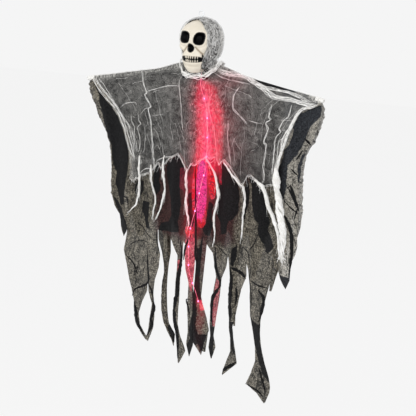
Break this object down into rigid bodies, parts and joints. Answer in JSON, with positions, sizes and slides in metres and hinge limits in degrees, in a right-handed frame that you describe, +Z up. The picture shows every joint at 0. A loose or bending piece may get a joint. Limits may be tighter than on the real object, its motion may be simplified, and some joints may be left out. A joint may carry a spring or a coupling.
{
  "type": "hanging ghost decoration",
  "caption": "Hanging skeleton ghost: ivory skull in a gauze hood, sheer black robe and white cheesecloth poncho on swinging arm rods, ragged strips, red light string",
  "frame": {"origin": "centre of the hanging eye above the crown", "axes": "+Z up, -Y is the face's side, +X is the viewer's right when facing the skull"},
  "size_m": [0.68, 0.1198, 1.0142],
  "materials": {
    "ivory_plastic": "satin ivory moulding",
    "gloss_black": "glossy black",
    "sheer_black_gauze": "open crinkled weave",
    "cheesecloth": "loose white cheesecloth",
    "hood_gauze": "grey-white gauze",
    "steel": "plain",
    "dark_plastic": "matt black moulding",
    "cell_jacket": "printed can, shown plain",
    "lamp_red": "red lamps on a thin wire",
    "clear_line": "clear stiff line"
  },
  "bodies": {
    "head": {"hanging_eye": "clear_line", "skull_face": "ivory_plastic", "skull_back": "ivory_plastic", "left_eye_cup": "gloss_black", "right_eye_cup": "gloss_black", "nose_cup": "gloss_black", "mouth_liner": "gloss_black", "upper_teeth": "ivory_plastic", "lower_teeth": "ivory_plastic", "skull_base": "ivory_plastic", "hood": "hood_gauze"},
    "torso": {"neck_post": "dark_plastic", "shoulder_hub": "dark_plastic", "left_shoulder_pin": "steel", "right_shoulder_pin": "steel", "battery_box": "dark_plastic", "box_screw": "steel", "left_contact_plate": "steel", "right_contact_plate": "steel", "left_cell": "cell_jacket", "right_cell": "cell_jacket", "left_contact_spring": "steel", "right_contact_spring": "steel", "cord_grommet": "dark_plastic", "light_string": "lamp_red", "robe_left": "sheer_black_gauze", "poncho_left": "cheesecloth", "gauze_strand_1": "cheesecloth", "gauze_strand_2": "cheesecloth", "gauze_strand_3": "cheesecloth", "gauze_strand_4": "cheesecloth", "robe_right": "sheer_black_gauze", "poncho_right": "cheesecloth", "gauze_strand_5": "cheesecloth", "gauze_strand_6": "cheesecloth", "gauze_strand_7": "cheesecloth", "gauze_strand_8": "cheesecloth", "neck_tie": "cheesecloth"},
    "left_arm": {"left_rod_socket": "dark_plastic", "left_arm_rod": "steel", "left_rod_cap": "dark_plastic", "left_wrist_tie": "cheesecloth"},
    "right_arm": {"right_rod_socket": "dark_plastic", "right_arm_rod": "steel", "right_rod_cap": "dark_plastic", "right_wrist_tie": "cheesecloth"},
    "switch": {"switch_knob": "steel"},
    "lid": {"battery_lid": "dark_plastic"}
  },
  "joints": [
    {"name": "neck_turn", "type": "hinge", "parent": "head", "child": "torso", "pos_m": [0, 0, -0.11], "axis": [0, 0, 1], "range_deg": [-20, 20]},
    {"name": "left_shoulder", "type": "hinge", "parent": "torso", "child": "left_arm", "pos_m": [-0.03, 0, -0.136], "axis": [0, 1, 0], "range_deg": [-15, 15], "deforming": ["robe_left", "poncho_left", "gauze_strand_1", "gauze_strand_2", "gauze_strand_3", "gauze_strand_4"]},
    {"name": "right_shoulder", "type": "hinge", "parent": "torso", "child": "right_arm", "pos_m": [0.03, 0, -0.136], "axis": [0, 1, 0], "range_deg": [-15, 15], "deforming": ["robe_right", "poncho_right", "gauze_strand_5", "gauze_strand_6", "gauze_strand_7", "gauze_strand_8"]},
    {"name": "switch_slide", "type": "slide", "parent": "torso", "child": "switch", "axis": [0, 0, -1], "range_m": [0, 0.003]},
    {"name": "lid_slide", "type": "slide", "parent": "torso", "child": "lid", "axis": [0, 0, -1], "range_m": [0, 0.045]}
  ]
}
